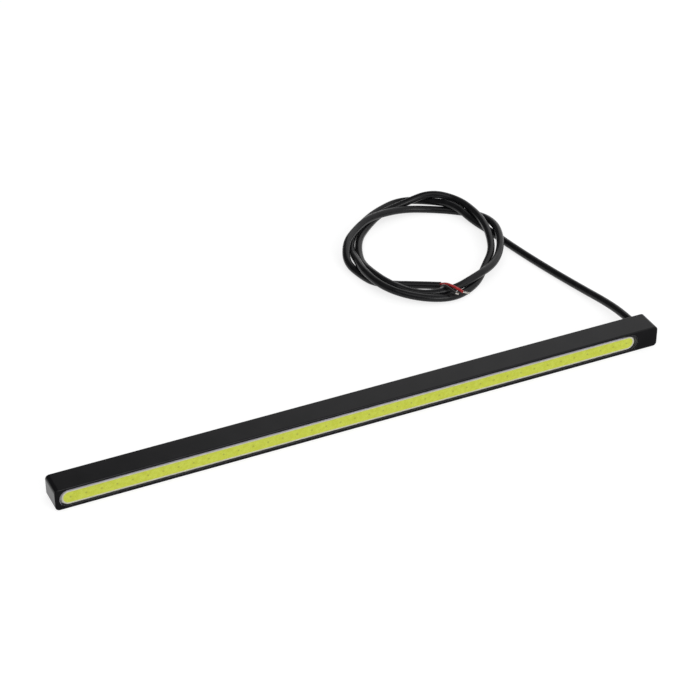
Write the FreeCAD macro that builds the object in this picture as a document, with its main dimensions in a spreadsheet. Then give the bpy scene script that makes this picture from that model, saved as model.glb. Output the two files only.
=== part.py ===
import FreeCAD, Part
import math
import os

import Sketcher

# Light bar with a clear front lens over a chip-on-board light strip.
# The bar lies on its long lower face: X runs along the bar, the light looks
# towards -Y, Z is up, and the origin is the middle of the lower face.
# The cable leaves the rear cover near the +X end and lies coiled behind the bar.

DRIVING_DIMENSIONS = {
    # moulded housing
    "bar_length": 300.0,
    "bar_depth": 12.9,
    "bar_height": 10.8,
    "corner_radius": 2.0,
    "front_edge_radius": 0.6,
    "back_edge_radius": 0.5,
    "side_wall": 1.8,
    "front_wall": 1.1,
    "inner_radius": 0.8,
    # rear cover, its sealing bead and the ribs that press the board forward
    "cover_step": 0.9,
    "cover_thickness": 1.5,
    "cover_gap": 0.05,
    "cover_seal": 0.2,
    "rib_thickness": 1.0,
    "rib_height": 6.6,
    "rib_pitch": 23.0,
    "rib_count": 12,
    "first_rib_x": -138.0,
    # lens window, off centre because the +X end of the front is blank
    "window_x": -4.3,
    "lens_length": 287.6,
    "lens_height": 8.6,
    "lens_thickness": 1.0,
    "lens_edge_radius": 0.45,
    "lens_gap": 0.05,
    "seat_depth": 0.5,
    "seal_thickness": 0.15,
    "strip_x": -4.775,
    "light_length": 285.2,
    "light_height": 6.8,
    # light strip
    "board_left": -147.4,
    "board_right": 147.0,
    "board_height": 7.1,
    "board_thickness": 1.0,
    "tape_thickness": 0.15,
    "tape_right": 139.0,
    "tape_height": 6.4,
    "dam_length": 284.25,
    "dam_height": 6.7,
    "dam_depth": 0.6,
    "fill_length": 282.85,
    "fill_height": 5.5,
    "fill_depth": 0.52,
    "die_count": 40,
    "die_pitch": 7.08,
    "die_length": 1.1,
    "die_height": 0.5,
    "die_depth": 0.2,
    # parts on the blank end of the board
    "recess_left": 140.2,
    "recess_right": 147.8,
    "recess_depth": 0.65,
    "resistor_x": 141.4,
    "resistor_length": 2.0,
    "resistor_width": 1.25,
    "resistor_depth": 0.45,
    "resistor_pitch": 2.0,
    "resistor_count": 3,
    "diode_x": 143.6,
    "diode_length": 1.2,
    "diode_width": 1.8,
    "diode_depth": 0.5,
    "pad_x": 145.0,
    "pad_spacing": 2.8,
    "solder_radius": 0.75,
    "solder_rise": 0.45,
    "strand_radius": 0.4,
    # cable
    "cable_diameter": 3.8,
    "cable_x": 145.4,
    "core_diameter": 1.4,
    "core_gap": 0.1,
    "tip_diameter": 0.9,
    "jacket_inside_y": 3.0,
    "grommet_radius": 2.45,
    "grommet_flange_radius": 2.75,
    "grommet_flange": 1.0,
    "grommet_collar_radius": 2.3,
    "grommet_collar": 1.4,
    "coil_x": 89.7,
    "coil_y": 117.5,
    "coil_turned": 62.0,
    "coil_outer_long": 51.0,
    "coil_outer_short": 43.4,
    "coil_inner_long": 33.3,
    "coil_inner_short": 30.1,
    "coil_height": 7.6,
    "notch_left": 75.4,
    "notch_right": 87.0,
    "notch_front": 60.0,
    "notch_wall": 81.0,
    "notch_floor": 1.1,
    # how far a through cut runs past its far face
    "cut_margin": 1.0,
}

# Middle line of the free lead, from inside the rear cover to the coil (mm).
LEAD_ROUTE = [
    (145.4, 3.0, 5.4),
    (145.4, 13.0, 5.4),
    (144.5, 28.0, 4.6),
    (140.6, 50.0, 2.6),
    (134.7, 76.0, 1.9),
    (129.6, 100.0, 1.9),
    (126.9, 117.3, 1.9),
]

# Middle lines of the two cores past the cut end of the jacket (mm): the
# insulated stretch, and from its last point the bare strand.
RED_ROUTE = [(80.7, 81.5, 2.6), (84.1, 65.8, 5.6)]
BLACK_ROUTE = [(79.3, 81.2, 1.9), (79.7, 68.2, 5.5)]
RED_TIP_END = (86.4, 63.5, 4.7)
BLACK_TIP_END = (80.9, 65.4, 5.1)

# Share of the shorter run that each bend of a route takes up.
ARC_SHARE = 0.45
# Tolerances: points on one plane and the least cut volume (mm, mm3), and a tube's volume (share).
SAME_PLANE = 1e-4
LEAST_CUT = 1e-6
TUBE_VOLUME = 0.02

doc = FreeCAD.newDocument("light_bar")
sheet = doc.addObject("Spreadsheet::Sheet", "dims")
for row, (alias, value) in enumerate(DRIVING_DIMENSIONS.items(), start=1):
    sheet.set("A%d" % row, alias)
    sheet.set("B%d" % row, str(value))
    sheet.setAlias("B%d" % row, alias)
doc.recompute()

nodes = []


def size(alias):
    """The value of one driving dimension."""
    return float(sheet.get(alias))


def keep(feature, label):
    """Name a finished sub-part and remember it for export."""
    feature.Label = label
    nodes.append(feature)
    return feature


def origin_plane(body, role):
    """One of a body's own origin planes."""
    for feature in body.Origin.OriginFeatures:
        if feature.Role == role:
            return feature
    raise LookupError(role)


def new_body(name):
    """A body that may hold separate solids."""
    body = doc.addObject("PartDesign::Body", name)
    body.AllowCompound = True
    return body


def front_sketch(body, name, y_expression):
    """A sketch parallel to the light face: its x is X, its y is Z, it sits at y."""
    sketch = body.newObject("Sketcher::SketchObject", name)
    sketch.AttachmentSupport = [(origin_plane(body, "XZ_Plane"), "")]
    sketch.MapMode = "FlatFace"
    sketch.setExpression("AttachmentOffset.Base.z", "-(%s)" % y_expression)
    return sketch


def bind(sketch, constraint, expression):
    """Add one dimension to a sketch and tie it to the sheet."""
    index = sketch.addConstraint(constraint)
    sketch.setExpression("Constraints[%d]" % index, expression)


def close_profile(sketch, ids):
    """Join the lines and arcs of a closed profile tangentially, end to start."""
    for here, there in zip(ids, ids[1:] + ids[:1]):
        sketch.addConstraint(Sketcher.Constraint("Tangent", here, 2, there, 1))


def arc(x, z, radius, start, end):
    """A circular arc in sketch coordinates, angles in degrees."""
    circle = Part.Circle(FreeCAD.Vector(x, z, 0), FreeCAD.Vector(0, 0, 1), radius)
    return Part.ArcOfCircle(circle, math.radians(start), math.radians(end))


def line(x0, z0, x1, z1):
    """A straight line in sketch coordinates."""
    return Part.LineSegment(FreeCAD.Vector(x0, z0, 0), FreeCAD.Vector(x1, z1, 0))


def add_slot(sketch, length, height, x, z):
    """A long slot with half-round ends, given by expressions of the sheet."""
    half = size_of(height) / 2
    left = size_of(x) - size_of(length) / 2 + half
    right = size_of(x) + size_of(length) / 2 - half
    middle = size_of(z)
    ids = [
        sketch.addGeometry(line(left, middle - half, right, middle - half)),
        sketch.addGeometry(arc(right, middle, half, -90, 90)),
        sketch.addGeometry(line(right, middle + half, left, middle + half)),
        sketch.addGeometry(arc(left, middle, half, 90, 270)),
    ]
    close_profile(sketch, ids)
    sketch.addConstraint(Sketcher.Constraint("Horizontal", ids[0]))
    sketch.addConstraint(Sketcher.Constraint("Equal", ids[1], ids[3]))
    bind(sketch, Sketcher.Constraint("Radius", ids[1], half), "(%s) / 2" % height)
    bind(sketch, Sketcher.Constraint("DistanceY", -1, 1, ids[1], 3, middle), z)
    bind(sketch, Sketcher.Constraint("DistanceX", -1, 1, ids[1], 3, right),
         "(%s) + (%s) / 2 - (%s) / 2" % (x, length, height))
    bind(sketch, Sketcher.Constraint("DistanceX", -1, 1, ids[3], 3, left),
         "(%s) - (%s) / 2 + (%s) / 2" % (x, length, height))


def add_rounded_rectangle(sketch, length, height, radius, z):
    """A rectangle with round corners, centred on x = 0 and at height z."""
    half_x = size_of(length) / 2
    half_z = size_of(height) / 2
    middle = size_of(z)
    r = size_of(radius)
    low = middle - half_z
    high = middle + half_z
    ids = [
        sketch.addGeometry(line(-half_x + r, low, half_x - r, low)),
        sketch.addGeometry(arc(half_x - r, low + r, r, -90, 0)),
        sketch.addGeometry(line(half_x, low + r, half_x, high - r)),
        sketch.addGeometry(arc(half_x - r, high - r, r, 0, 90)),
        sketch.addGeometry(line(half_x - r, high, -half_x + r, high)),
        sketch.addGeometry(arc(-half_x + r, high - r, r, 90, 180)),
        sketch.addGeometry(line(-half_x, high - r, -half_x, low + r)),
        sketch.addGeometry(arc(-half_x + r, low + r, r, 180, 270)),
    ]
    close_profile(sketch, ids)
    for straight, kind in ((0, "Horizontal"), (2, "Vertical"), (4, "Horizontal"), (6, "Vertical")):
        sketch.addConstraint(Sketcher.Constraint(kind, ids[straight]))
    for corner in (3, 5, 7):
        sketch.addConstraint(Sketcher.Constraint("Equal", ids[1], ids[corner]))
    bind(sketch, Sketcher.Constraint("Radius", ids[1], r), radius)
    bind(sketch, Sketcher.Constraint("DistanceX", -1, 1, ids[2], 1, half_x), "(%s) / 2" % length)
    bind(sketch, Sketcher.Constraint("DistanceX", ids[6], 1, -1, 1, half_x), "(%s) / 2" % length)
    bind(sketch, Sketcher.Constraint("DistanceY", -1, 1, ids[0], 1, low), "(%s) - (%s) / 2" % (z, height))
    bind(sketch, Sketcher.Constraint("DistanceY", -1, 1, ids[4], 1, high), "(%s) + (%s) / 2" % (z, height))


def add_box_profile(sketch, left, right, height, z):
    """A plain rectangle between two x values, centred at height z."""
    x0 = size_of(left)
    x1 = size_of(right)
    low = size_of(z) - size_of(height) / 2
    high = size_of(z) + size_of(height) / 2
    ids = [
        sketch.addGeometry(line(x0, low, x1, low)),
        sketch.addGeometry(line(x1, low, x1, high)),
        sketch.addGeometry(line(x1, high, x0, high)),
        sketch.addGeometry(line(x0, high, x0, low)),
    ]
    for here, there in zip(ids, ids[1:] + ids[:1]):
        sketch.addConstraint(Sketcher.Constraint("Coincident", here, 2, there, 1))
    for straight, kind in ((0, "Horizontal"), (1, "Vertical"), (2, "Horizontal"), (3, "Vertical")):
        sketch.addConstraint(Sketcher.Constraint(kind, ids[straight]))
    bind(sketch, Sketcher.Constraint("DistanceX", -1, 1, ids[3], 1, x0), left)
    bind(sketch, Sketcher.Constraint("DistanceX", -1, 1, ids[1], 1, x1), right)
    bind(sketch, Sketcher.Constraint("DistanceY", -1, 1, ids[0], 1, low), "(%s) - (%s) / 2" % (z, height))
    bind(sketch, Sketcher.Constraint("DistanceY", -1, 1, ids[2], 1, high), "(%s) + (%s) / 2" % (z, height))


def add_circle(sketch, x, z, radius):
    """A circle given by expressions of the sheet."""
    centre = FreeCAD.Vector(size_of(x), size_of(z), 0)
    circle = sketch.addGeometry(Part.Circle(centre, FreeCAD.Vector(0, 0, 1), size_of(radius)))
    bind(sketch, Sketcher.Constraint("Radius", circle, size_of(radius)), radius)
    bind(sketch, Sketcher.Constraint("DistanceX", -1, 1, circle, 3, size_of(x)), x)
    bind(sketch, Sketcher.Constraint("DistanceY", -1, 1, circle, 3, size_of(z)), z)


def size_of(expression):
    """The present value of a sheet expression."""
    return float(sheet.evalExpression(expression.replace("dims.", "")))


def pad_back(body, sketch, name, depth):
    """Add material from a front sketch towards the back of the bar."""
    pad = body.newObject("PartDesign::Pad", name)
    pad.Profile = sketch
    pad.Reversed = True
    pad.setExpression("Length", depth)
    doc.recompute()
    return pad


def pocket(body, sketch, name, depth, towards_back):
    """Cut a front sketch into the body, and check that something was cut."""
    before = body.Shape.Volume
    cut = body.newObject("PartDesign::Pocket", name)
    cut.Profile = sketch
    cut.Reversed = not towards_back
    cut.setExpression("Length", depth)
    doc.recompute()
    if body.Shape.Volume >= before - LEAST_CUT:
        raise RuntimeError("%s cut nothing" % name)
    return cut


def row_pattern(body, feature, sketch, name, span, count):
    """Repeat one feature along the bar."""
    pattern = body.newObject("PartDesign::LinearPattern", name)
    pattern.Originals = [feature]
    pattern.Direction = (sketch, ["H_Axis"])
    pattern.setExpression("Length", span)
    pattern.setExpression("Occurrences", count)
    body.Tip = pattern
    doc.recompute()
    return pattern


def round_edges(body, base, name, radius, wanted):
    """Round the edges of the base feature whose points all pass a test."""
    names = []
    for index, edge in enumerate(base.Shape.Edges, start=1):
        if all(wanted(vertex.Point) for vertex in edge.Vertexes):
            names.append("Edge%d" % index)
    fillet = body.newObject("PartDesign::Fillet", name)
    fillet.Base = (base, names)
    fillet.setExpression("Radius", radius)
    doc.recompute()
    return fillet


FRONT = "-dims.bar_depth / 2"
BACK = "dims.bar_depth / 2"
MIDDLE_Z = "dims.bar_height / 2"
INNER_FRONT = "-dims.bar_depth / 2 + dims.front_wall"
SEAT = "-dims.bar_depth / 2 + dims.seat_depth"
LENS_BACK = "-dims.bar_depth / 2 + dims.seat_depth - dims.seal_thickness"
LENS_FRONT = LENS_BACK + " - dims.lens_thickness"
BOARD_BACK = INNER_FRONT + " + dims.board_thickness"
TAPE_BACK = BOARD_BACK + " + dims.tape_thickness"
COVER_INNER = "dims.bar_depth / 2 - dims.cover_thickness"
COVER_STEP_Y = "dims.bar_depth / 2 - dims.cover_thickness - dims.cover_seal"
INNER_LENGTH = "dims.bar_length - 2 * dims.side_wall"
INNER_HEIGHT = "dims.bar_height - 2 * dims.side_wall"
INNER_RADIUS = "dims.inner_radius"
STEP_LENGTH = "dims.bar_length - 2 * dims.cover_step"
STEP_HEIGHT = "dims.bar_height - 2 * dims.cover_step"
STEP_RADIUS = "dims.corner_radius - dims.cover_step"
COVER_LENGTH = STEP_LENGTH + " - 2 * dims.cover_gap"
COVER_HEIGHT = STEP_HEIGHT + " - 2 * dims.cover_gap"
COVER_RADIUS = STEP_RADIUS + " - dims.cover_gap"
CABLE_RADIUS = "dims.cable_diameter / 2"
LOWER_PAD_Z = "dims.bar_height / 2 - dims.pad_spacing / 2"
UPPER_PAD_Z = "dims.bar_height / 2 + dims.pad_spacing / 2"


def build_housing():
    """One-piece moulded shell: window in front, open at the back."""
    body = new_body("housing")
    outline = front_sketch(body, "housing_outline", FRONT)
    add_rounded_rectangle(outline, "dims.bar_length", "dims.bar_height", "dims.corner_radius", MIDDLE_Z)
    block = pad_back(body, outline, "housing_block", "dims.bar_depth")
    front_y = size_of(FRONT)
    back_y = size_of(BACK)
    rounded = round_edges(body, block, "front_rounding", "dims.front_edge_radius",
                          lambda p: abs(p.y - front_y) < SAME_PLANE)
    round_edges(body, rounded, "back_rounding", "dims.back_edge_radius",
                lambda p: abs(p.y - back_y) < SAME_PLANE)
    step = front_sketch(body, "cover_step_outline", BACK)
    add_rounded_rectangle(step, STEP_LENGTH, STEP_HEIGHT, STEP_RADIUS, MIDDLE_Z)
    pocket(body, step, "cover_step_cut", "dims.cover_thickness + dims.cover_seal", False)
    cavity = front_sketch(body, "cavity_outline", BACK)
    add_rounded_rectangle(cavity, INNER_LENGTH, INNER_HEIGHT, INNER_RADIUS, MIDDLE_Z)
    pocket(body, cavity, "cavity_cut", "dims.bar_depth - dims.front_wall", False)
    seat = front_sketch(body, "lens_seat_outline", FRONT)
    add_slot(seat, "dims.lens_length + 2 * dims.lens_gap", "dims.lens_height + 2 * dims.lens_gap",
             "dims.window_x", MIDDLE_Z)
    pocket(body, seat, "lens_seat_cut", "dims.seat_depth", True)
    opening = front_sketch(body, "light_opening_outline", FRONT)
    add_slot(opening, "dims.light_length", "dims.light_height", "dims.strip_x", MIDDLE_Z)
    pocket(body, opening, "light_opening_cut", "dims.front_wall + dims.cut_margin", True)
    recess = front_sketch(body, "component_recess_outline", INNER_FRONT)
    add_box_profile(recess, "dims.recess_left", "dims.recess_right", "dims.light_height", MIDDLE_Z)
    pocket(body, recess, "component_recess_cut", "dims.recess_depth", False)
    return keep(body, "housing")


def build_rear_cover():
    """Flush rear plate with a cable hole and ribs that press on the board."""
    body = new_body("rear_cover")
    outline = front_sketch(body, "cover_outline", COVER_INNER)
    add_rounded_rectangle(outline, COVER_LENGTH, COVER_HEIGHT, COVER_RADIUS, MIDDLE_Z)
    pad_back(body, outline, "cover_plate", "dims.cover_thickness")
    rib = front_sketch(body, "rib_outline", TAPE_BACK)
    add_box_profile(rib, "dims.first_rib_x - dims.rib_thickness / 2",
                    "dims.first_rib_x + dims.rib_thickness / 2", "dims.rib_height", MIDDLE_Z)
    one_rib = pad_back(body, rib, "first_rib", "(%s) - (%s)" % (COVER_INNER, TAPE_BACK))
    row_pattern(body, one_rib, rib, "rib_row", "dims.rib_pitch * (dims.rib_count - 1)", "dims.rib_count")
    hole = front_sketch(body, "cable_hole_outline", BACK)
    add_circle(hole, "dims.cable_x", MIDDLE_Z, "dims.grommet_radius")
    pocket(body, hole, "cable_hole_cut", "dims.cover_thickness + dims.cut_margin", False)
    return keep(body, "rear_cover")


def build_cover_seal():
    """Bead of sealant on the step under the edge of the rear cover."""
    body = new_body("cover_seal")
    outline = front_sketch(body, "cover_seal_outline", COVER_STEP_Y)
    add_rounded_rectangle(outline, COVER_LENGTH, COVER_HEIGHT, COVER_RADIUS, MIDDLE_Z)
    add_rounded_rectangle(outline, INNER_LENGTH, INNER_HEIGHT, INNER_RADIUS, MIDDLE_Z)
    pad_back(body, outline, "cover_seal_bead", "dims.cover_seal")
    return keep(body, "cover_seal")


def build_lens():
    """Clear lens with half-round ends, proud of the front face."""
    body = new_body("lens")
    outline = front_sketch(body, "lens_outline", LENS_FRONT)
    add_slot(outline, "dims.lens_length", "dims.lens_height", "dims.window_x", MIDDLE_Z)
    plate = pad_back(body, outline, "lens_plate", "dims.lens_thickness")
    front_y = size_of(LENS_FRONT)
    round_edges(body, plate, "lens_rounding", "dims.lens_edge_radius",
                lambda p: abs(p.y - front_y) < SAME_PLANE)
    return keep(body, "lens")


def build_lens_seal():
    """Flat bead of clear sealant between the lens and its seat."""
    body = new_body("lens_seal")
    outline = front_sketch(body, "lens_seal_outline", LENS_BACK)
    add_slot(outline, "dims.lens_length", "dims.lens_height", "dims.window_x", MIDDLE_Z)
    add_slot(outline, "dims.light_length", "dims.light_height", "dims.strip_x", MIDDLE_Z)
    pad_back(body, outline, "lens_seal_bead", "dims.seal_thickness")
    return keep(body, "lens_seal")


def build_led_board():
    """Metal-core board with two plated holes for the cable cores."""
    body = new_body("led_board")
    outline = front_sketch(body, "board_outline", INNER_FRONT)
    add_box_profile(outline, "dims.board_left", "dims.board_right", "dims.board_height", MIDDLE_Z)
    pad_back(body, outline, "board_plate", "dims.board_thickness")
    holes = front_sketch(body, "board_hole_outline", INNER_FRONT)
    for pad_z in (LOWER_PAD_Z, UPPER_PAD_Z):
        add_circle(holes, "dims.pad_x", pad_z, "dims.strand_radius")
    pocket(body, holes, "board_hole_cut", "dims.board_thickness + dims.cut_margin", True)
    return keep(body, "led_board")


def build_board_tape():
    """Heat-conducting tape on the back of the board."""
    tape = doc.addObject("Part::Box", "board_tape")
    tape.setExpression("Length", "dims.tape_right - dims.board_left")
    tape.setExpression("Width", "dims.tape_thickness")
    tape.setExpression("Height", "dims.tape_height")
    tape.setExpression("Placement.Base.x", "dims.board_left")
    tape.setExpression("Placement.Base.y", BOARD_BACK)
    tape.setExpression("Placement.Base.z", "(dims.bar_height - dims.tape_height) / 2")
    return keep(tape, "board_tape")


def build_dam_bead():
    """White bead that bounds the phosphor."""
    body = new_body("dam_bead")
    outline = front_sketch(body, "dam_outline", INNER_FRONT + " - dims.dam_depth")
    add_slot(outline, "dims.dam_length", "dims.dam_height", "dims.strip_x", MIDDLE_Z)
    add_slot(outline, "dims.fill_length", "dims.fill_height", "dims.strip_x", MIDDLE_Z)
    pad_back(body, outline, "dam_ring", "dims.dam_depth")
    return keep(body, "dam_bead")


def add_die_profile(sketch):
    """The outline of the first die, at the left end of the row."""
    first = "dims.strip_x - dims.die_pitch * (dims.die_count - 1) / 2"
    add_box_profile(sketch, first + " - dims.die_length / 2", first + " + dims.die_length / 2",
                    "dims.die_height", MIDDLE_Z)


DIE_SPAN = "dims.die_pitch * (dims.die_count - 1)"


def build_phosphor_fill():
    """Yellow phosphor gel inside the dam, moulded round the dies."""
    body = new_body("phosphor_fill")
    outline = front_sketch(body, "fill_outline", INNER_FRONT + " - dims.fill_depth")
    add_slot(outline, "dims.fill_length", "dims.fill_height", "dims.strip_x", MIDDLE_Z)
    pad_back(body, outline, "fill_plate", "dims.fill_depth")
    die = front_sketch(body, "die_hollow_outline", INNER_FRONT)
    add_die_profile(die)
    hollow = pocket(body, die, "first_die_hollow", "dims.die_depth", False)
    row_pattern(body, hollow, die, "die_hollow_row", DIE_SPAN, "dims.die_count")
    return keep(body, "phosphor_fill")


def build_led_dies():
    """Row of light-emitting dies on the board, under the phosphor."""
    body = new_body("led_dies")
    die = front_sketch(body, "die_outline", INNER_FRONT + " - dims.die_depth")
    add_die_profile(die)
    first = pad_back(body, die, "first_die", "dims.die_depth")
    row_pattern(body, first, die, "die_row", DIE_SPAN, "dims.die_count")
    return keep(body, "led_dies")


def build_resistors():
    """Current-limiting chip resistors on the blank end of the board."""
    body = new_body("resistors")
    chip = front_sketch(body, "resistor_outline", INNER_FRONT + " - dims.resistor_depth")
    lowest = "dims.bar_height / 2 - dims.resistor_pitch * (dims.resistor_count - 1) / 2"
    add_box_profile(chip, "dims.resistor_x - dims.resistor_length / 2",
                    "dims.resistor_x + dims.resistor_length / 2", "dims.resistor_width", lowest)
    first = pad_back(body, chip, "first_resistor", "dims.resistor_depth")
    pattern = body.newObject("PartDesign::LinearPattern", "resistor_row")
    pattern.Originals = [first]
    pattern.Direction = (chip, ["V_Axis"])
    pattern.setExpression("Length", "dims.resistor_pitch * (dims.resistor_count - 1)")
    pattern.setExpression("Occurrences", "dims.resistor_count")
    body.Tip = pattern
    doc.recompute()
    return keep(body, "resistors")


def build_polarity_diode():
    """Small diode that guards against crossed leads."""
    diode = doc.addObject("Part::Box", "polarity_diode")
    diode.setExpression("Length", "dims.diode_length")
    diode.setExpression("Width", "dims.diode_depth")
    diode.setExpression("Height", "dims.diode_width")
    diode.setExpression("Placement.Base.x", "dims.diode_x - dims.diode_length / 2")
    diode.setExpression("Placement.Base.y", INNER_FRONT + " - dims.diode_depth")
    diode.setExpression("Placement.Base.z", "dims.bar_height / 2 - dims.diode_width / 2")
    return keep(diode, "polarity_diode")


def solder_profile(sketch):
    """Half section of a solder joint: a shank in the hole and a low cone."""
    strand = size("strand_radius")
    foot = size("solder_radius")
    rise = size("solder_rise")
    shank = size("board_thickness")
    points = [(0, -rise), (strand, -rise), (foot, 0), (strand, 0), (strand, shank), (0, shank)]
    ids = []
    for (x0, y0), (x1, y1) in zip(points, points[1:] + points[:1]):
        ids.append(sketch.addGeometry(line(x0, y0, x1, y1)))
    for here, there in zip(ids, ids[1:] + ids[:1]):
        sketch.addConstraint(Sketcher.Constraint("Coincident", here, 2, there, 1))
    widths = ((1, "strand_radius"), (2, "solder_radius"), (3, "strand_radius"), (4, "strand_radius"))
    for corner, alias in widths:
        reach = Sketcher.Constraint("DistanceX", -1, 1, ids[corner], 1, size(alias))
        bind(sketch, reach, "dims." + alias)
    for corner in (0, 1):
        bind(sketch, Sketcher.Constraint("DistanceY", ids[corner], 1, -1, 1, rise), "dims.solder_rise")
    for corner in (4, 5):
        bind(sketch, Sketcher.Constraint("DistanceY", -1, 1, ids[corner], 1, shank), "dims.board_thickness")
    for corner, axis in ((2, -1), (3, -1), (0, -2), (5, -2)):
        sketch.addConstraint(Sketcher.Constraint("PointOnObject", ids[corner], 1, axis))


def build_solder_joints():
    """Two solder joints that fill the board's holes and stand up on its front."""
    joints = []
    for name, pad_z in (("lower_joint", LOWER_PAD_Z), ("upper_joint", UPPER_PAD_Z)):
        body = new_body(name)
        sketch = body.newObject("Sketcher::SketchObject", name + "_section")
        sketch.AttachmentSupport = [(origin_plane(body, "XY_Plane"), "")]
        sketch.MapMode = "FlatFace"
        solder_profile(sketch)
        turned = body.newObject("PartDesign::Revolution", name + "_turned")
        turned.Profile = sketch
        turned.ReferenceAxis = (sketch, ["V_Axis"])
        turned.Angle = 360
        body.setExpression("Placement.Base.x", "dims.pad_x")
        body.setExpression("Placement.Base.y", INNER_FRONT)
        body.setExpression("Placement.Base.z", pad_z)
        joints.append(body)
    doc.recompute()
    pair = doc.addObject("Part::Compound", "solder_joints")
    pair.Links = joints
    doc.recompute()
    return keep(pair, "solder_joints")


def build_inner_core(label, side):
    """One insulated core from the end of the jacket to the back of the board."""
    core_radius = size("core_diameter") / 2
    middle = size("bar_height") / 2
    out_of_jacket = middle + side * (core_radius + size("core_gap") / 2)
    start = FreeCAD.Vector(size("cable_x"), size("jacket_inside_y"), out_of_jacket)
    end = FreeCAD.Vector(size("pad_x"), size_of(BOARD_BACK), middle + side * size("pad_spacing") / 2)
    along = end - start
    # the rod runs on past both ends by its own length, and the slab trims it square
    rod = Part.makeCylinder(core_radius, 3 * along.Length, start - along, along)
    corner = FreeCAD.Vector(0, end.y, 0)
    slab = Part.makeBox(size("bar_length"), start.y - end.y, size("bar_height"), corner)
    core = doc.addObject("Part::Feature", label)
    core.Shape = rod.common(slab)
    return keep(core, label)


def build_cable_grommet():
    """Rubber bush in the rear cover: inner flange, neck and outer collar."""
    turn = FreeCAD.Rotation(FreeCAD.Vector(1, 0, 0), -90)
    flange_y = COVER_INNER + " - dims.grommet_flange"
    whole = "dims.cover_thickness + dims.grommet_flange + dims.grommet_collar"
    rings = [
        ("grommet_flange", "dims.grommet_flange_radius", "dims.grommet_flange", flange_y),
        ("grommet_neck", "dims.grommet_radius", "dims.cover_thickness", COVER_INNER),
        ("grommet_collar", "dims.grommet_collar_radius", "dims.grommet_collar", BACK),
        ("grommet_bore", CABLE_RADIUS, whole, flange_y),
    ]
    solids = []
    for name, radius, height, y in rings:
        ring = doc.addObject("Part::Cylinder", name)
        ring.Placement = FreeCAD.Placement(FreeCAD.Vector(0, 0, 0), turn)
        ring.setExpression("Radius", radius)
        ring.setExpression("Height", height)
        ring.setExpression("Placement.Base.x", "dims.cable_x")
        ring.setExpression("Placement.Base.y", y)
        ring.setExpression("Placement.Base.z", MIDDLE_Z)
        solids.append(ring)
    bush = doc.addObject("Part::MultiFuse", "grommet_bush")
    bush.Shapes = solids[:3]
    bored = doc.addObject("Part::Cut", "cable_grommet")
    bored.Base = bush
    bored.Tool = solids[3]
    doc.recompute()
    return keep(bored, "cable_grommet")


def route_wire(points):
    """Straight runs joined by tangent arcs, each as large as its two runs allow."""
    edges = []
    here = points[0]
    radii = []
    for before, corner, after in zip(points, points[1:], points[2:]):
        back = (before - corner).normalize()
        ahead = (after - corner).normalize()
        turn = math.pi - back.getAngle(ahead)
        shorter = min((before - corner).Length, (after - corner).Length)
        tangent = ARC_SHARE * shorter
        radii.append(tangent / math.tan(turn / 2))
        start = corner + back * tangent
        end = corner + ahead * tangent
        inward = (back + ahead).normalize()
        to_centre = math.hypot(radii[-1], tangent)
        crest = corner + inward * (to_centre - radii[-1])
        edges.append(Part.LineSegment(here, start).toShape())
        edges.append(Part.Arc(start, crest, end).toShape())
        here = end
    edges.append(Part.LineSegment(here, points[-1]).toShape())
    return Part.Wire(edges), radii


def tube(points, radius):
    """A round tube along a route, checked against its section times its length."""
    vectors = [FreeCAD.Vector(*point) for point in points]
    path, radii = route_wire(vectors)
    direction = (vectors[1] - vectors[0]).normalize()
    section = Part.Wire(Part.Circle(vectors[0], direction, radius).toShape())
    solid = path.makePipeShell([section], True, False)
    expected = math.pi * radius ** 2 * path.Length
    if abs(solid.Volume - expected) > TUBE_VOLUME * expected:
        raise RuntimeError("a tube's volume is %.1f, not %.1f" % (solid.Volume, expected))
    print("tube of %.1f mm, bend radii" % path.Length, [round(r, 1) for r in radii])
    return solid


def build_cable():
    """The free lead, the loose coil, and the cores past the cut jacket."""
    core_radius = size("core_diameter") / 2
    tip_radius = size("tip_diameter") / 2
    oval = coil_ring()
    ring = oval.cut(core_notch())
    red = tube(RED_ROUTE, core_radius).cut(ring)
    black = tube(BLACK_ROUTE, core_radius).cut(ring)
    red_tip = straight_tip(RED_ROUTE[-1], RED_TIP_END, tip_radius, red)
    black_tip = straight_tip(BLACK_ROUTE[-1], BLACK_TIP_END, tip_radius, black)
    lead = tube(LEAD_ROUTE, size("cable_diameter") / 2).cut(oval)
    pieces = {
        "cable_lead": lead,
        "cable_coil": ring,
        "red_core": red,
        "black_core": black,
        "red_core_tip": red_tip,
        "black_core_tip": black_tip,
    }
    for label, shape in pieces.items():
        feature = doc.addObject("Part::Feature", label)
        feature.Shape = shape
        keep(feature, label)


def straight_tip(start, end, radius, core):
    """Bare strand that goes on from the end of a core."""
    first = FreeCAD.Vector(*start)
    last = FreeCAD.Vector(*end)
    strand = Part.makeCylinder(radius, (last - first).Length, first, last - first)
    return strand.cut(core)


def core_notch():
    """Hollow in the top of the ring, from the cut end of the jacket outwards."""
    corner = FreeCAD.Vector(size("notch_left"), size("notch_front"), size("notch_floor"))
    across = size("notch_right") - corner.x
    outwards = size("notch_wall") - corner.y
    return Part.makeBox(across, outwards, size("coil_height"), corner)


def coil_ring():
    """Outer shape of the loose turns: an oval ring on the ground."""
    origin = FreeCAD.Vector(0, 0, 0)
    centre = FreeCAD.Vector(size("coil_x"), size("coil_y"), 0)
    up = FreeCAD.Vector(0, 0, 1)
    rings = []
    for which in ("outer", "inner"):
        oval = Part.Ellipse(origin, size("coil_%s_long" % which), size("coil_%s_short" % which))
        face = Part.Face(Part.Wire(oval.toShape()))
        face.rotate(origin, up, size("coil_turned"))
        face.translate(centre)
        rings.append(face.extrude(up * size("coil_height")))
    return rings[0].cut(rings[1])


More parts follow.
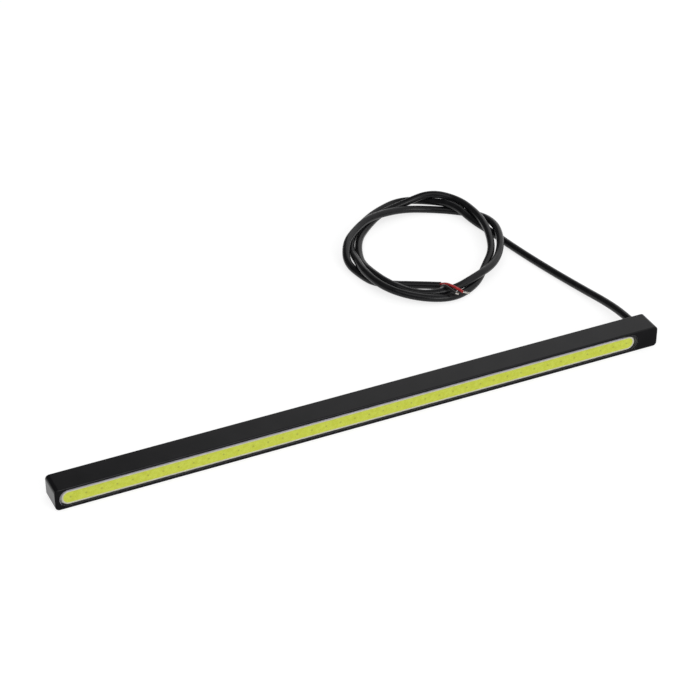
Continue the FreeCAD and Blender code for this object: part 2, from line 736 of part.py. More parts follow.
def export():
    """Check every object, then write one file per sub-part."""
    doc.recompute()
    for feature in doc.Objects:
        if "Invalid" in feature.State or "Error" in feature.State:
            raise RuntimeError("%s failed: %s" % (feature.Label, feature.State))
    for node in nodes:
        if node.Shape.isNull() or not node.Shape.isValid():
            raise RuntimeError("%s has no valid shape" % node.Label)
    os.makedirs("parts", exist_ok=True)
    for node in nodes:
        node.Shape.exportStep("parts/%s.step" % node.Label)
        print("%-16s %2d solids %10.2f mm3" % (node.Label, len(node.Shape.Solids), node.Shape.Volume))


build_housing()
build_rear_cover()
build_cover_seal()
build_lens()
build_lens_seal()
build_led_board()
build_board_tape()
build_dam_bead()
build_phosphor_fill()
build_led_dies()
build_resistors()
build_polarity_diode()
build_solder_joints()
build_inner_core("red_core_inner", 1)
build_inner_core("black_core_inner", -1)
build_cable_grommet()
build_cable()
export()
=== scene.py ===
"""Dresses the light bar: black housing, clear lens over a phosphor strip, loosely coiled cable."""

import logging
import math
from dataclasses import dataclass, field
from enum import Enum

import bpy
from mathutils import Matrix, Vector


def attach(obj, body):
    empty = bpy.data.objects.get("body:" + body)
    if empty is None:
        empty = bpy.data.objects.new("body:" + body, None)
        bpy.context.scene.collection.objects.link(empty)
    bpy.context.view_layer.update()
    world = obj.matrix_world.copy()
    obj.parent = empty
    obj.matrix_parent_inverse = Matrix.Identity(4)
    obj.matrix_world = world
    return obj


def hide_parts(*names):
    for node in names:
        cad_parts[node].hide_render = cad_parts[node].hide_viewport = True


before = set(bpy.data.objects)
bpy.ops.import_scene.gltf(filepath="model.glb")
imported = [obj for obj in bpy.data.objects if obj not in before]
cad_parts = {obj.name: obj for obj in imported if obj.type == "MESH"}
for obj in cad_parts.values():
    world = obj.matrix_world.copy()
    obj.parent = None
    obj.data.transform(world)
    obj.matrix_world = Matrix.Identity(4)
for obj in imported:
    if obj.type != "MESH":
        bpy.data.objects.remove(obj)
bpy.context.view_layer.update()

LOG = logging.getLogger("light_bar")

MM = 0.001
ROOT = "root"
Point = tuple[float, float, float]
Colour = tuple[float, float, float]
Span = tuple[float, float]

MID_TONES: Span = (0.3, 0.7)
FULL: Span = (0.0, 1.0)
NO_VECTOR: Point = (0.0, 0.0, 0.0)
MIX_FIRST, MIX_SECOND, MIX_RESULT = 6, 7, 2


class Slot(Enum):
    """Names of material slots for the cord's pieces; no piece is given these slots."""

    SOLDER = "solder"
    JACKET = "cable_jacket"
    RED_CORE = "core_red"
    BLACK_CORE = "core_black"


class Ray(Enum):
    """Kinds of ray that see the white studio."""

    CAMERA = "Is Camera Ray"
    GLOSSY = "Is Glossy Ray"
    TRANSMISSION = "Is Transmission Ray"


@dataclass(frozen=True)
class Blots:
    """A noise pattern: size of one blot, finer levels, and how much longer a blot is along each axis."""

    size_mm: float
    detail: float = 3.0
    stretch: Point = (1.0, 1.0, 1.0)


@dataclass(frozen=True)
class Skin:
    """A bumpy skin: its pattern, its depth and how strongly it shows."""

    blots: Blots
    depth_mm: float
    strength: float


def metres(points: list[Point]) -> list[Vector]:
    """Points given in millimetres, as vectors in metres."""
    return [Vector(point) * MM for point in points]


def in_metres(numbers: tuple[float, ...]) -> tuple[float, ...]:
    """Numbers given in millimetres, in metres."""
    return tuple(number * MM for number in numbers)


class NodeGraph:
    """Short hand for building a node tree."""

    def __init__(self, tree: bpy.types.NodeTree) -> None:
        """Keep the tree that the nodes go into."""
        self.tree = tree

    def add(self, kind: str, **inputs: object) -> bpy.types.Node:
        """Add a node and fill its input sockets.

        Args:
            kind: Blender's name for the node type.
            inputs: values or output sockets, by input name with _ for a space.

        Returns:
            The new node.
        """
        node = self.tree.nodes.new(kind)
        for name, value in inputs.items():
            self.feed(node, name.replace("_", " "), value)
        return node

    def feed(self, node: bpy.types.Node, socket: str | int, value: object) -> None:
        """Link an output to an input socket, or set the socket's value."""
        if isinstance(value, bpy.types.NodeSocket):
            self.tree.links.new(value, node.inputs[socket])
        else:
            node.inputs[socket].default_value = value

    def math(self, operation: str, first: object, second: object = 0.0) -> bpy.types.NodeSocket:
        """A Math node on two values.

        Args:
            operation: name of the operation.
            first: value or output socket.
            second: value or output socket.

        Returns:
            The result's socket.
        """
        node = self.tree.nodes.new("ShaderNodeMath")
        node.operation = operation
        self.feed(node, 0, first)
        self.feed(node, 1, second)
        return node.outputs[0]

    def vector(self, operation: str, first: object, second: object,
               output: str = "Vector") -> bpy.types.NodeSocket:
        """A Vector Math node on two vectors, returning the named output."""
        node = self.tree.nodes.new("ShaderNodeVectorMath")
        node.operation = operation
        self.feed(node, 0, first)
        self.feed(node, 1, second)
        return node.outputs[output]

    def span(self, value: bpy.types.NodeSocket, result: Span, source: Span = MID_TONES,
             smooth: bool = True) -> bpy.types.NodeSocket:
        """Map a value from one span to another, held at both ends.

        Args:
            value: the value's socket.
            result: what the span's ends become.
            source: the span that is mapped.
            smooth: ease in and out.

        Returns:
            The result's socket.
        """
        node = self.add("ShaderNodeMapRange", Value=value)
        node.interpolation_type = "SMOOTHSTEP" if smooth else "LINEAR"
        for index, number in enumerate((*source, *result), start=1):
            node.inputs[index].default_value = number
        return node.outputs[0]


class Surface(NodeGraph):
    """The node graph of one surface, round its Principled shader."""

    def __init__(self, material: bpy.types.Material) -> None:
        """Take the shader of a new material."""
        material.use_nodes = True
        super().__init__(material.node_tree)
        self.shader = self.tree.nodes["Principled BSDF"]
        self.place = self.add("ShaderNodeTexCoord").outputs["Object"]

    def set(self, socket: str, value: object) -> None:
        """Set or link one socket of the shader."""
        if isinstance(value, tuple) and len(value) == 3:
            value = (*value, 1.0)
        self.feed(self.shader, socket, value)

    def noise(self, blots: Blots) -> bpy.types.NodeSocket:
        """Noise on the piece's own coordinates, 0 to 1."""
        mapping = self.add("ShaderNodeMapping", Vector=self.place)
        mapping.inputs["Scale"].default_value = tuple(1.0 / s for s in blots.stretch)
        node = self.add("ShaderNodeTexNoise", Vector=mapping.outputs[0], Scale=1.0 / (blots.size_mm * MM),
                        Detail=blots.detail)
        return node.outputs["Fac"]

    def mix(self, factor: bpy.types.NodeSocket, first: object, second: object) -> bpy.types.NodeSocket:
        """Mix two colours, given as tuples or sockets."""
        node = self.tree.nodes.new("ShaderNodeMix")
        node.data_type = "RGBA"
        self.feed(node, 0, factor)
        for index, colour in ((MIX_FIRST, first), (MIX_SECOND, second)):
            self.feed(node, index, (*colour, 1.0) if isinstance(colour, tuple) else colour)
        return node.outputs[MIX_RESULT]

    def bump(self, skin: Skin) -> None:
        """Give the surface a bumpy skin."""
        node = self.add("ShaderNodeBump", Height=self.noise(skin.blots), Distance=skin.depth_mm * MM,
                        Strength=skin.strength)
        self.set("Normal", node.outputs[0])

    def clouded(self, blots: Blots, first: Colour, second: Colour) -> bpy.types.NodeSocket:
        """Two colours in soft clouds."""
        return self.mix(self.span(self.noise(blots), FULL), first, second)


@dataclass(frozen=True)
class Finish:
    """A named finish that paints one material."""

    name: str

    def material(self) -> bpy.types.Material:
        """The finish's material, made on first use."""
        known = bpy.data.materials.get(self.name)
        if known is not None:
            return known
        material = bpy.data.materials.new(self.name)
        self.paint(Surface(material))
        return material

    def paint(self, surface: Surface) -> None:
        """Build the finish's nodes."""
        raise NotImplementedError

    def dress(self, node: str) -> None:
        """Give a solid of the frame this finish."""
        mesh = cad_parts[node].data
        mesh.materials.clear()
        mesh.materials.append(self.material())
        LOG.info("%s wears %s", node, self.name)


@dataclass(frozen=True)
class MouldedBlack(Finish):
    """Glossy black moulding with a fine skin and faint handling marks."""

    deep: Colour = (0.0045, 0.0045, 0.0052)
    worn: Colour = (0.0065, 0.0063, 0.0072)
    gloss: Span = (0.19, 0.23)
    specular: float = 0.16
    clouds: Blots = Blots(9.0, 4.0)
    marks: Blots = Blots(5.0, 5.0)
    skin: Skin = Skin(Blots(0.3, 2.0), 0.0012, 0.5)

    def paint(self, surface: Surface) -> None:
        """Black with soft clouding, uneven gloss and a fine moulded skin."""
        surface.set("Base Color", surface.clouded(self.clouds, self.deep, self.worn))
        surface.set("Roughness", surface.span(surface.noise(self.marks), self.gloss))
        surface.set("Specular IOR Level", self.specular)
        surface.bump(self.skin)


@dataclass(frozen=True)
class ClearLens(Finish):
    """Clear moulded lens: nearly invisible face, with a painted highlight, paler and more opaque, along its
    rounded upper edge.

    face and edge are opacities; edge is that of the painted highlight. The other spans are distances from the
    lens's centre.
    """

    lens_and_highlight_tint: Colour = (0.62, 0.60, 0.66)
    gloss: Span = (0.05, 0.11)
    smears: Blots = Blots(6.0, 4.0, (5.0, 1.0, 1.0))
    smear_tones: Span = (0.45, 0.75)
    specular: float = 0.35
    face: float = 0.012
    edge: float = 0.42
    centre: Point = (-4.3, 0.0, 5.4)
    # half_straight_mm and the spans after it place the painted highlight round the lens's rim.
    half_straight_mm: float = 139.5
    lit_rim_reach_mm: Span = (3.75, 4.15)
    lit_upper_mm: Span = (-3.2, -0.6)
    cable_end_mm: Span = (132.0, 138.5)

    def paint(self, surface: Surface) -> None:
        """See-through plastic with smears, and a painted highlight near its outline where it faces up, fading out
        towards the cable end.
        """
        offset = surface.vector("SUBTRACT", surface.place, in_metres(self.centre))
        split = surface.add("ShaderNodeSeparateXYZ", Vector=offset)
        along = surface.math("ABSOLUTE", split.outputs["X"])
        beyond = surface.math("SUBTRACT", along, self.half_straight_mm * MM)
        past_straight = surface.math("MAXIMUM", beyond, 0.0)
        across = surface.add("ShaderNodeCombineXYZ", X=past_straight, Y=split.outputs["Z"])
        reach = surface.vector("LENGTH", across.outputs[0], NO_VECTOR, "Value")
        # Painted highlight: the rim is made pale and more opaque only where it faces up, standing in for light
        # from above catching the rounded edge.
        rim = surface.span(reach, FULL, in_metres(self.lit_rim_reach_mm))
        upper = surface.span(split.outputs["Z"], FULL, in_metres(self.lit_upper_mm))
        cable_end = surface.span(split.outputs["X"], FULL[::-1], in_metres(self.cable_end_mm))
        lit_rim_mask = surface.math("MULTIPLY", surface.math("MULTIPLY", rim, upper), cable_end)
        painted_rim_highlight = surface.math("MULTIPLY", lit_rim_mask, self.edge)
        surface.set("Alpha", surface.math("ADD", painted_rim_highlight, self.face))
        surface.set("Base Color", self.lens_and_highlight_tint)
        surface.set("Specular IOR Level", self.specular)
        surface.set("Roughness", surface.span(surface.noise(self.smears), self.gloss, self.smear_tones))


@dataclass(frozen=True)
class PhosphorGel(Finish):
    """Yellow-green gel with a faint dark mark over each die."""

    gel: Colour = (0.60, 0.66, 0.052)
    thin: Colour = (0.66, 0.73, 0.085)
    mark: Colour = (0.20, 0.20, 0.035)
    first_die: Point = (-142.835, 0.0, 5.4)
    pitch_mm: float = 7.08
    mark_mm: Span = (0.75, 0.7)
    mark_depth: float = 0.5
    mark_fade: Span = (0.1, 1.0)
    mottle: Blots = Blots(1.6, 4.0)
    gloss: Span = (0.42, 0.6)
    gloss_blots: Blots = Blots(0.8)
    specular: float = 0.3
    skin: Skin = Skin(Blots(0.5, 2.0), 0.01, 0.4)

    def paint(self, surface: Surface) -> None:
        """Mottled gel, with a small darker mark at each die."""
        offset = surface.vector("SUBTRACT", surface.place, in_metres(self.first_die))
        split = surface.add("ShaderNodeSeparateXYZ", Vector=offset)
        steps = surface.math("DIVIDE", split.outputs["X"], self.pitch_mm * MM)
        nearest = surface.math("ROUND", steps)
        from_die = surface.math("SUBTRACT", steps, nearest)
        along = surface.math("MULTIPLY", from_die, self.pitch_mm / self.mark_mm[0])
        across = surface.math("DIVIDE", split.outputs["Z"], self.mark_mm[1] * MM)
        spot = surface.add("ShaderNodeCombineXYZ", X=along, Y=across)
        reach = surface.vector("LENGTH", spot.outputs[0], NO_VECTOR, "Value")
        over_die = surface.span(reach, (self.mark_depth, 0.0), self.mark_fade)
        gel = surface.clouded(self.mottle, self.gel, self.thin)
        surface.set("Base Color", surface.mix(over_die, gel, self.mark))
        surface.set("Roughness", surface.span(surface.noise(self.gloss_blots), self.gloss))
        surface.set("Specular IOR Level", self.specular)
        surface.bump(self.skin)


@dataclass(frozen=True)
class SoftBead(Finish):
    """Sealant or dam bead: slightly uneven and waxy."""

    pale: Colour
    shade: Colour
    gloss: Span = (0.4, 0.6)
    clouds: Blots = Blots(3.0)
    gloss_blots: Blots = Blots(1.0)
    skin: Skin = Skin(Blots(0.9, 2.0), 0.03, 0.4)

    def paint(self, surface: Surface) -> None:
        """Two close tones and a gently lumpy skin."""
        surface.set("Base Color", surface.clouded(self.clouds, self.pale, self.shade))
        surface.set("Roughness", surface.span(surface.noise(self.gloss_blots), self.gloss))
        surface.bump(self.skin)


@dataclass(frozen=True)
class GrainedPlastic(Finish):
    """Plain polymer such as a chip body, a tape or a core's insulation."""

    deep: Colour
    worn: Colour
    gloss: Span
    grain_mm: float = 0.4
    specular: float = 0.4
    grain_depth_mm: float = 0.004
    grain_detail: float = 2.0
    grain_strength: float = 0.5
    cloud_grains: float = 8.0
    cloud_detail: float = 4.0
    gloss_grains: float = 3.0

    def paint(self, surface: Surface) -> None:
        """Two close tones, uneven gloss and a fine grain."""
        clouds = Blots(self.grain_mm * self.cloud_grains, self.cloud_detail)
        surface.set("Base Color", surface.clouded(clouds, self.deep, self.worn))
        gloss_blots = Blots(self.grain_mm * self.gloss_grains)
        surface.set("Roughness", surface.span(surface.noise(gloss_blots), self.gloss))
        surface.set("Specular IOR Level", self.specular)
        grain = Blots(self.grain_mm, self.grain_detail)
        surface.bump(Skin(grain, self.grain_depth_mm, self.grain_strength))


@dataclass(frozen=True)
class BrightMetal(Finish):
    """Metal such as tinned strands, solder or the board's aluminium."""

    bright: Colour
    dull: Colour
    gloss: Span = (0.22, 0.42)
    metallic: float = 1.0
    blots: Blots = Blots(0.7, 4.0, (2.0, 1.0, 1.0))
    skin: Skin = Skin(Blots(0.2, 2.0), 0.01, 0.4)

    def paint(self, surface: Surface) -> None:
        """Bright metal with duller blots."""
        surface.set("Base Color", surface.clouded(self.blots, self.bright, self.dull))
        surface.set("Roughness", surface.span(surface.noise(self.blots), self.gloss))
        surface.set("Metallic", self.metallic)
        surface.bump(self.skin)


HOUSING_FINISH = MouldedBlack("moulded_black")
COVER_FINISH = MouldedBlack("cover_black", gloss=(0.32, 0.48))
LENS_FINISH = ClearLens("clear_lens_finish")
PHOSPHOR_FINISH = PhosphorGel("phosphor_gel")
DAM_FINISH = SoftBead("dam_white_finish", (0.66, 0.65, 0.54), (0.58, 0.57, 0.46))
SEALANT_FINISH = SoftBead("black_sealant", (0.012, 0.012, 0.013), (0.02, 0.02, 0.02))
BOARD_FINISH = BrightMetal("white_board", (0.72, 0.72, 0.70), (0.60, 0.60, 0.58), (0.4, 0.55), 0.1)
TAPE_FINISH = GrainedPlastic("heat_tape", (0.32, 0.32, 0.33), (0.42, 0.42, 0.43), (0.7, 0.85))
DIE_FINISH = BrightMetal("die_blue_finish", (0.24, 0.30, 0.38), (0.34, 0.40, 0.44), (0.15, 0.25), 0.3)
CHIP_FINISH = GrainedPlastic("chip_black_finish", (0.012, 0.012, 0.013), (0.03, 0.03, 0.03), (0.45, 0.6))
TIN_FINISH = BrightMetal("tinned_strand", (0.62, 0.60, 0.57), (0.40, 0.37, 0.33))
JACKET_FINISH = GrainedPlastic("cable_jacket_finish", (0.0045, 0.0045, 0.005), (0.008, 0.008, 0.009), (0.22, 0.32),
                               0.5, 0.22)
GROMMET_FINISH = GrainedPlastic("bush_rubber", (0.008, 0.008, 0.008), (0.016, 0.016, 0.016), (0.5, 0.65))
RED_FINISH = GrainedPlastic("red_insulation", (0.30, 0.012, 0.014), (0.42, 0.03, 0.028), (0.28, 0.4), 0.3)
BLACK_FINISH = GrainedPlastic("black_insulation", (0.008, 0.008, 0.008), (0.018, 0.018, 0.018), (0.28, 0.4), 0.3)


@dataclass
class LightBar:
    """The rigid bar: solids of the frame, each with its own finish."""

    finishes: dict[str, Finish] = field(default_factory=lambda: {
        "housing": HOUSING_FINISH,
        "rear_cover": COVER_FINISH,
        "cover_seal": SEALANT_FINISH,
        "lens": LENS_FINISH,
        "lens_seal": SEALANT_FINISH,
        "led_board": BOARD_FINISH,
        "board_tape": TAPE_FINISH,
        "dam_bead": DAM_FINISH,
        "phosphor_fill": PHOSPHOR_FINISH,
        "led_dies": DIE_FINISH,
        "resistors": CHIP_FINISH,
        "polarity_diode": CHIP_FINISH,
        "solder_joints": TIN_FINISH,
        "red_core_inner": RED_FINISH,
        "black_core_inner": BLACK_FINISH,
        "cable_grommet": GROMMET_FINISH,
        "cable_lead": JACKET_FINISH,
        "cable_coil": JACKET_FINISH,
        "red_core": RED_FINISH,
        "black_core": BLACK_FINISH,
        "red_core_tip": TIN_FINISH,
        "black_core_tip": TIN_FINISH,
    })

    def dress(self) -> None:
        """Give each solid its finish."""
        for node, finish in self.finishes.items():
            finish.dress(node)


class Spline:
    """Smooth round pieces along a route."""

    ROUND_STEPS = 6
    LENGTH_STEPS = 8
    ORDER = 3

    @classmethod
    def curve(cls, name: str, points: list[Vector], radius: float, finish: Finish) -> bpy.types.Object:
        """A round curve led by control points.

        Args:
            name: the piece's name.
            points: control points in metres.
            radius: half the thickness in metres.
            finish: what it is made of.

        Returns:
            The curve object.
        """
        data = bpy.data.curves.new(name, "CURVE")
        data.dimensions = "3D"
        data.bevel_depth = radius
        data.bevel_resolution = cls.ROUND_STEPS
        data.resolution_u = cls.LENGTH_STEPS
        data.use_fill_caps = True
        spline = data.splines.new("NURBS")
        spline.points.add(len(points) - 1)
        for control, point in zip(spline.points, points):
            control.co = (*point, 1.0)
        spline.order_u = cls.ORDER
        spline.use_endpoint_u = True
        data.materials.append(finish.material())
        piece = bpy.data.objects.new(name, data)
        bpy.context.scene.collection.objects.link(piece)
        return piece


@dataclass
class StrandBundle:
    """Tinned strands twisted round a solder-filled middle, made by nodes along a line."""

    start: Point
    end: Point
    strands: int = 9
    strand_mm: float = 0.13
    pack_mm: float = 0.32
    turns: float = 0.9
    steps: int = 24
    sides: int = 8

    def tree(self) -> bpy.types.NodeTree:
        """The node tree that twists the strands.

        Returns:
            A tree with named inputs for the line's ends and the strands' sizes.
        """
        known = bpy.data.node_groups.get("twisted_strands")
        if known is not None:
            return known
        tree = bpy.data.node_groups.new("twisted_strands", "GeometryNodeTree")
        for kind, names in (("Vector", ("Start", "End", "Side", "Across")), ("Int", ("Strands",)),
                            ("Float", ("Strand radius", "Pack radius", "Turns")), ("Material", ("Material",))):
            for name in names:
                tree.interface.new_socket(name=name, in_out="INPUT", socket_type="NodeSocket" + kind)
        tree.interface.new_socket(name="Geometry", in_out="OUTPUT", socket_type="NodeSocketGeometry")
        graph = NodeGraph(tree)
        given = graph.add("NodeGroupInput").outputs
        line = graph.add("GeometryNodeCurvePrimitiveLine", Start=given["Start"], End=given["End"])
        path = graph.add("GeometryNodeResampleCurve", Curve=line.outputs[0], Count=self.steps)
        copies = graph.tree.nodes.new("GeometryNodeDuplicateElements")
        copies.domain = "SPLINE"
        graph.feed(copies, "Geometry", path.outputs[0])
        graph.feed(copies, "Amount", given["Strands"])
        along = graph.add("GeometryNodeSplineParameter").outputs["Factor"]
        share = graph.math("DIVIDE", copies.outputs["Duplicate Index"], given["Strands"])
        twist = graph.math("ADD", share, graph.math("MULTIPLY", along, given["Turns"]))
        angle = graph.math("MULTIPLY", twist, math.tau)
        offsets = []
        for wave, axis in (("COSINE", "Side"), ("SINE", "Across")):
            reach = graph.math("MULTIPLY", graph.math(wave, angle), given["Pack radius"])
            scaled = graph.tree.nodes.new("ShaderNodeVectorMath")
            scaled.operation = "SCALE"
            graph.feed(scaled, 0, given[axis])
            graph.feed(scaled, "Scale", reach)
            offsets.append(scaled.outputs[0])
        moved = graph.add("GeometryNodeSetPosition", Geometry=copies.outputs["Geometry"],
                          Offset=graph.vector("ADD", *offsets))
        join = graph.add("GeometryNodeJoinGeometry")
        for curve, radius in ((moved, "Strand radius"), (path, "Pack radius")):
            ring = graph.add("GeometryNodeCurvePrimitiveCircle", Resolution=self.sides, Radius=given[radius])
            tube = graph.add("GeometryNodeCurveToMesh", Curve=curve.outputs[0], Fill_Caps=True)
            graph.feed(tube, "Profile Curve", ring.outputs[0])
            tree.links.new(tube.outputs[0], join.inputs[0])
        real = graph.add("GeometryNodeRealizeInstances", Geometry=join.outputs[0])
        painted = graph.add("GeometryNodeSetMaterial", Geometry=real.outputs[0], Material=given["Material"])
        graph.add("NodeGroupOutput", Geometry=painted.outputs[0])
        return tree

    def build(self, name: str, finish: Finish) -> bpy.types.Object:
        """Make the bundle as a plain mesh.

        Args:
            name: the piece's name.
            finish: the strands' metal.

        Returns:
            The mesh object.
        """
        first, last = metres([self.start, self.end])
        side = (last - first).orthogonal().normalized()
        across = (last - first).cross(side).normalized()
        maker = bpy.data.objects.new(name + "_maker", bpy.data.meshes.new(name + "_maker"))
        bpy.context.scene.collection.objects.link(maker)
        modifier = maker.modifiers.new("strands", "NODES")
        modifier.node_group = self.tree()
        values = {"Start": first, "End": last, "Side": side, "Across": across, "Strands": self.strands,
                  "Strand radius": self.strand_mm * MM, "Pack radius": self.pack_mm * MM, "Turns": self.turns,
                  "Material": finish.material()}
        for item in modifier.node_group.interface.items_tree:
            if item.in_out == "INPUT":
                modifier[item.identifier] = values[item.name]
        seen = maker.evaluated_get(bpy.context.evaluated_depsgraph_get())
        mesh = bpy.data.meshes.new_from_object(seen)
        bpy.data.objects.remove(maker)
        mesh.name = name
        piece = bpy.data.objects.new(name, mesh)
        bpy.context.scene.collection.objects.link(piece)
        return piece


@dataclass
class Cable:
    """Two-core cable: free lead, loose turns on the ground, cut end with two cores."""

    diameter_mm: float = 3.8
    core_mm: float = 1.4
    length_m: float = 0.80
    exit: Point = (145.4, 7.85, 5.4)
    own_share: float = 0.75
    lead: list[Point] = field(default_factory=lambda: [
        (145.4, 3.0, 5.4), (145.4, 13.0, 5.4), (144.5, 28.0, 4.6), (140.6, 50.0, 2.6), (134.7, 76.0, 1.9),
        (129.6, 100.0, 1.9), (126.9, 117.3, 1.9)])
    centre: tuple[float, float] = (89.7, 117.5)
    spoke_degrees: float = 20.0
    reach_and_height: list[tuple[float, float]] = field(default_factory=lambda: [
        (34.9, 2.7), (37.6, 6.7), (42.3, 4.1), (46.8, 2.8), (42.5, 1.9), (39.1, 1.9), (38.1, 1.9), (37.7, 2.4),
        (38.6, 5.5), (43.9, 7.0), (48.9, 5.6), (50.5, 3.9), (49.1, 1.9), (41.9, 1.9), (34.9, 3.4), (33.6, 4.7),
        (32.5, 5.6), (33.8, 6.2), (37.4, 6.4), (42.8, 7.0), (42.8, 9.0), (39.6, 4.8), (38.6, 2.9), (35.2, 2.0),
        (34.2, 1.9), (33.8, 1.9), (35.6, 2.4), (39.8, 5.7), (44.9, 5.9), (46.7, 3.2), (44.9, 4.0), (41.5, 6.4),
        (39.5, 5.6), (37.7, 5.1), (37.6, 5.9), (39.3, 5.7), (41.2, 3.2), (39.2, 1.9), (37.5, 1.9), (35.9, 3.6),
        (34.5, 5.3), (35.4, 6.3), (36.6, 6.0), (40.0, 6.6), (43.8, 4.2)])
    tail: list[Point] = field(default_factory=lambda: [
        (48.8, 106.1, 1.9), (51.6, 98.1, 1.9), (59.3, 92.5, 1.9), (69.9, 87.2, 1.9), (80.2, 81.6, 1.9)])
    red: list[Point] = field(default_factory=lambda: [
        (79.7, 81.9, 2.65), (80.0, 78.1, 5.2), (80.5, 73.8, 6.9), (81.8, 69.5, 7.3), (83.6, 65.2, 6.8)])
    black: list[Point] = field(default_factory=lambda: [
        (79.5, 81.5, 1.2), (78.3, 77.5, 4.4), (78.1, 73.8, 7.1), (78.8, 69.7, 7.2), (80.0, 66.0, 6.6)])
    red_end: Point = (86.4, 63.5, 6.2)
    black_end: Point = (81.0, 65.0, 6.4)

    def turns(self) -> list[Point]:
        """Control points of the loose turns, one on each spoke.

        The curve takes own_share of each control point and the rest from its two neighbours, so the points
        are set outward until the curve itself has the given reach.

        Returns:
            Points in millimetres, from just past the lead to the tail.
        """
        step = math.radians(self.spoke_degrees)
        outward = 1.0 / (self.own_share + (1.0 - self.own_share) * math.cos(step))
        points = []
        for spoke, (reach, height) in enumerate(self.reach_and_height, start=1):
            across = outward * reach * math.cos(spoke * step)
            away = outward * reach * math.sin(spoke * step)
            points.append((self.centre[0] + across, self.centre[1] + away, height))
        return points

    def build(self) -> None:
        route = metres(self.lead + self.turns() + self.tail)
        jacket = Spline.curve("cable", route, self.diameter_mm * MM / 2, JACKET_FINISH)
        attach(jacket, ROOT)
        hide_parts("cable_lead", "cable_coil")
        LOG.info("cable built")
        ends = []
        for colour, route, end, finish, slot in (
                ("red", self.red, self.red_end, RED_FINISH, Slot.RED_CORE),
                ("black", self.black, self.black_end, BLACK_FINISH, Slot.BLACK_CORE)):
            core = Spline.curve(colour + "_wire", metres(route), self.core_mm * MM / 2, finish)
            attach(core, ROOT)
            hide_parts(colour + "_core")
            strands = StrandBundle(route[-1], end).build(colour + "_strands", TIN_FINISH)
            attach(strands, ROOT)
            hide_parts(colour + "_core_tip")
            ends += [core, strands]
            LOG.info("%s core built", colour)


@dataclass(frozen=True)
class Lamp:
    """A square soft lamp that looks at the bar."""

    name: str
    place_m: Point
    side_m: float
    watts: float

    def build(self) -> None:
        """Hang the lamp."""
        data = bpy.data.lights.new(self.name, "AREA")
        data.size = self.side_m
        data.energy = self.watts
        lamp = bpy.data.objects.new(self.name, data)
        lamp.location = self.place_m
        lamp.rotation_euler = (-Vector(self.place_m)).to_track_quat("-Z", "Y").to_euler()
        bpy.context.scene.collection.objects.link(lamp)


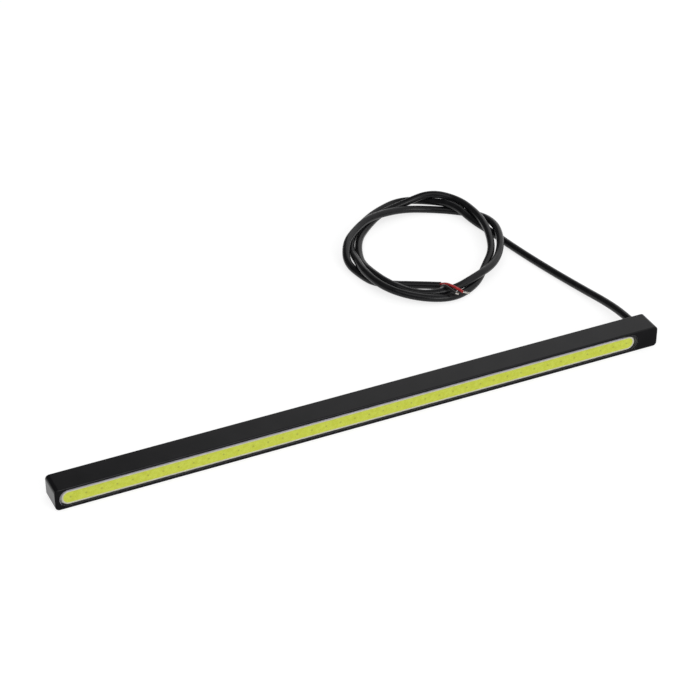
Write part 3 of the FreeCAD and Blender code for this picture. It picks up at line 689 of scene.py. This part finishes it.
@dataclass
class Studio:
    """White ground, soft light and the camera.

    dim_until_m and dim_share dim what the bar mirrors of the floor in front of it. sheen_from and sheen do the
    same for the surroundings, from left to right.
    """

    azimuth: float = -25.226
    elevation: float = 34.0
    distance_mm: float = 1049.37
    target: Point = (16.289, 51.589, 0.255)
    lens_mm: float = 113.938
    sensor_mm: float = 36.0
    near_m: float = 0.01
    floor_half_m: float = 4.0
    floor_drop_m: float = 0.0001
    floor_white: float = 0.74
    floor_albedo: float = 0.34
    dim_until_m: Span = (-0.0065, 0.0)
    dim_share: float = 0.1
    fill: float = 0.8
    sheen_from: Span = (0.14, 0.40)
    sheen: Span = (0.12, 1.3)
    lamps: tuple[Lamp, ...] = (
        Lamp("key", (-0.5, -0.7, 1.5), 1.2, 6.0),
        Lamp("front", (0.3, -1.6, 0.8), 1.0, 14.0))

    def sees_studio(self, graph: NodeGraph) -> bpy.types.NodeSocket:
        """1 for the rays that see the white studio, 0 for the light that it gives."""
        path = graph.add("ShaderNodeLightPath")
        seen = path.outputs[Ray.CAMERA.value]
        for ray in (Ray.GLOSSY, Ray.TRANSMISSION):
            seen = graph.math("MAXIMUM", seen, path.outputs[ray.value])
        return seen

    def build_floor(self) -> None:
        """A large pale ground that keeps the bar's soft shadow."""
        half = self.floor_half_m
        drop = -self.floor_drop_m
        mesh = bpy.data.meshes.new("floor")
        corners = [(-half, -half, drop), (half, -half, drop), (half, half, drop), (-half, half, drop)]
        mesh.from_pydata(corners, [], [tuple(range(len(corners)))])
        material = bpy.data.materials.new("studio_floor")
        material.use_nodes = True
        graph = NodeGraph(material.node_tree)
        graph.tree.nodes.clear()
        paper = graph.add("ShaderNodeBsdfDiffuse", Color=(self.floor_albedo,) * 3 + (1.0,))
        where = graph.add("ShaderNodeTexCoord").outputs["Object"]
        place = graph.add("ShaderNodeSeparateXYZ", Vector=where)
        behind = graph.span(place.outputs["Y"], (self.dim_share, 1.0), self.dim_until_m, smooth=False)
        white = graph.math("MULTIPLY", self.sees_studio(graph), self.floor_white)
        mirrored = graph.add("ShaderNodeLightPath").outputs[Ray.GLOSSY.value]
        loss = graph.math("MULTIPLY", mirrored, graph.math("SUBTRACT", 1.0, behind))
        shown = graph.math("MULTIPLY", white, graph.math("SUBTRACT", 1.0, loss))
        glow = graph.add("ShaderNodeEmission", Strength=shown)
        both = graph.add("ShaderNodeAddShader")
        graph.feed(both, 0, paper.outputs[0])
        graph.feed(both, 1, glow.outputs[0])
        graph.add("ShaderNodeOutputMaterial", Surface=both.outputs[0])
        mesh.materials.append(material)
        floor = bpy.data.objects.new("floor", mesh)
        bpy.context.scene.collection.objects.link(floor)

    def build_world(self) -> None:
        """Even light from all round, white where it is seen."""
        world = bpy.data.worlds.new("studio")
        world.use_nodes = True
        graph = NodeGraph(world.node_tree)
        graph.tree.nodes.clear()
        seen = self.sees_studio(graph)
        path = graph.add("ShaderNodeLightPath")
        where = graph.add("ShaderNodeTexCoord").outputs["Generated"]
        way = graph.add("ShaderNodeSeparateXYZ", Vector=where)
        sheen = graph.span(way.outputs["X"], self.sheen, self.sheen_from)
        change = graph.math("SUBTRACT", sheen, 1.0)
        bright = graph.math("ADD", graph.math("MULTIPLY", path.outputs[Ray.GLOSSY.value], change), 1.0)
        above_fill = graph.math("MULTIPLY", seen, graph.math("SUBTRACT", bright, self.fill))
        strength = graph.math("ADD", self.fill, above_fill)
        background = graph.add("ShaderNodeBackground", Strength=strength)
        graph.add("ShaderNodeOutputWorld", Surface=background.outputs[0])
        bpy.context.scene.world = world

    def build_camera(self) -> None:
        """The camera at the photograph's angle."""
        azimuth = math.radians(self.azimuth)
        elevation = math.radians(self.elevation)
        back = Vector((math.sin(azimuth) * math.cos(elevation), -math.cos(azimuth) * math.cos(elevation),
                       math.sin(elevation)))
        data = bpy.data.cameras.new("camera")
        data.lens = self.lens_mm
        data.sensor_width = self.sensor_mm
        data.clip_start = self.near_m
        camera = bpy.data.objects.new("camera", data)
        camera.location = Vector(self.target) * MM + back * self.distance_mm * MM
        camera.rotation_euler = (-back).to_track_quat("-Z", "Y").to_euler()
        bpy.context.scene.collection.objects.link(camera)
        bpy.context.scene.camera = camera

    def build(self) -> None:
        """Set up ground, light, camera and plain colour handling."""
        self.build_floor()
        self.build_world()
        for lamp in self.lamps:
            lamp.build()
        self.build_camera()
        bpy.context.scene.view_settings.view_transform = "Standard"


def main() -> None:
    """Build and dress the pieces in order, then the studio."""
    logging.basicConfig(level=logging.INFO)
    LightBar().dress()
    Cable().build()
    Studio().build()


if __name__ == "__main__":
    main()
